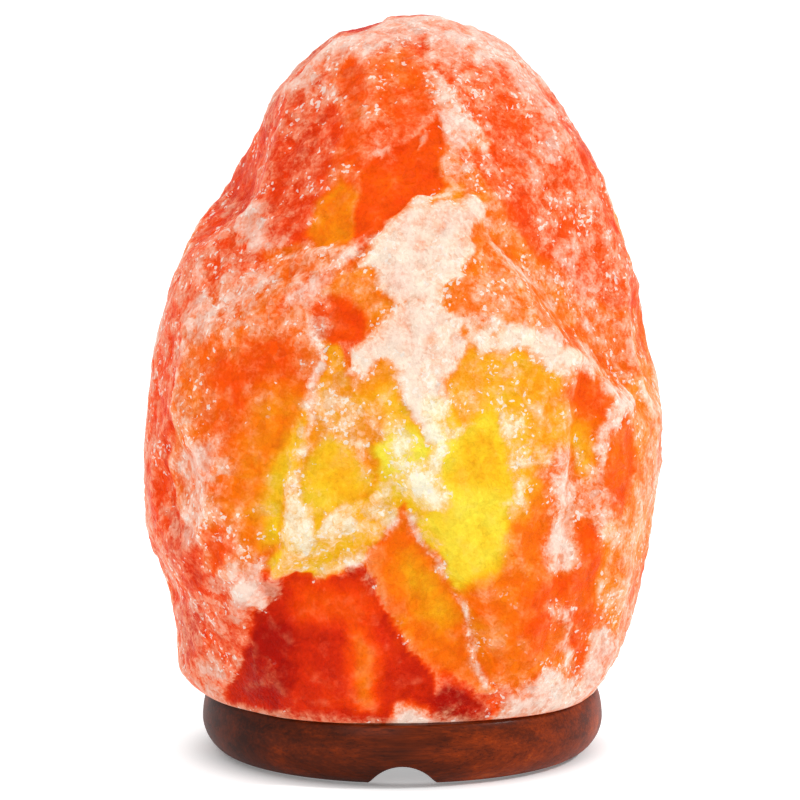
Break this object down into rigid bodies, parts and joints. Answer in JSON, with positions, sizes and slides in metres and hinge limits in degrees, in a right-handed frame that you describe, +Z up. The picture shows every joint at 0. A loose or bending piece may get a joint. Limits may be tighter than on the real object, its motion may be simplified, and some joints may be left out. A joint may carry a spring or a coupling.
{
  "type": "salt crystal lamp",
  "caption": "Rough glowing salt block, bored from below and screwed to a turned wooden base; its clip-in lamp holder with a screw-in bulb pulls down out of the base.",
  "frame": {"origin": "on the table, under the middle of the base and of the whole lamp", "axes": "+Z up, along the lamp's height; -Y is the front, where the cord leaves by the notch in the base; +X is to the right seen from the front"},
  "size_m": [0.1606, 0.1484, 0.229],
  "materials": {
    "rock_salt": "rough, translucent, lit from inside",
    "stained_wood": "turned, stained dark and lacquered",
    "pad_rubber": "matt",
    "zinc_steel": "zinc plated",
    "spring_steel": "bright spring steel",
    "plug_nylon": "moulded nylon",
    "holder_plastic": "moulded thermoset, black",
    "bushing_plastic": "moulded plastic, black",
    "core_ceramic": "fired clay, unglazed",
    "brass": "pressed brass",
    "bulb_glass": "clear blown glass",
    "black_glass": "black glass insulator",
    "solder": "soft solder",
    "lead_wire": "nickel-iron wire",
    "tungsten": "coiled wire, glowing"
  },
  "bodies": {
    "lamp": {"salt_crystal": "rock_salt", "wooden_base": "stained_wood", "base_pad_1": "pad_rubber", "base_pad_2": "pad_rubber", "base_pad_3": "pad_rubber", "base_pad_4": "pad_rubber", "base_screws": "zinc_steel", "wall_plugs": "plug_nylon"},
    "lamp_holder": {"holder_plate": "zinc_steel", "spring_clip_1": "spring_steel", "spring_clip_2": "spring_steel", "spring_clip_3": "spring_steel", "clip_rivets": "zinc_steel", "threaded_nipple": "zinc_steel", "nipple_nut": "zinc_steel", "toothed_washer": "spring_steel", "cord_bushing": "bushing_plastic", "socket_cap": "holder_plastic", "socket_skirt": "holder_plastic", "insulator_core": "core_ceramic", "screw_shell": "brass", "centre_contact": "brass", "terminal_plate_1": "brass", "terminal_plate_2": "brass", "terminal_screws": "brass"},
    "bulb": {"bulb_envelope": "bulb_glass", "bulb_cap": "brass", "cap_insulator": "black_glass", "cap_contact": "solder", "glass_stem": "bulb_glass", "lead_wire_1": "lead_wire", "lead_wire_2": "lead_wire", "filament": "tungsten", "filament_supports": "lead_wire"}
  },
  "joints": [
    {"name": "holder_withdrawal", "type": "slide", "parent": "lamp", "child": "lamp_holder", "axis": [0, 0, -1], "range_m": [0, 0.105], "deforming": ["spring_clip_1", "spring_clip_2", "spring_clip_3"]},
    {"name": "bulb_unscrew", "type": "hinge", "parent": "lamp_holder", "child": "bulb", "pos_m": [0, 0, 0.04], "axis": [0, 0, 1], "range_deg": [0, 1440]}
  ]
}
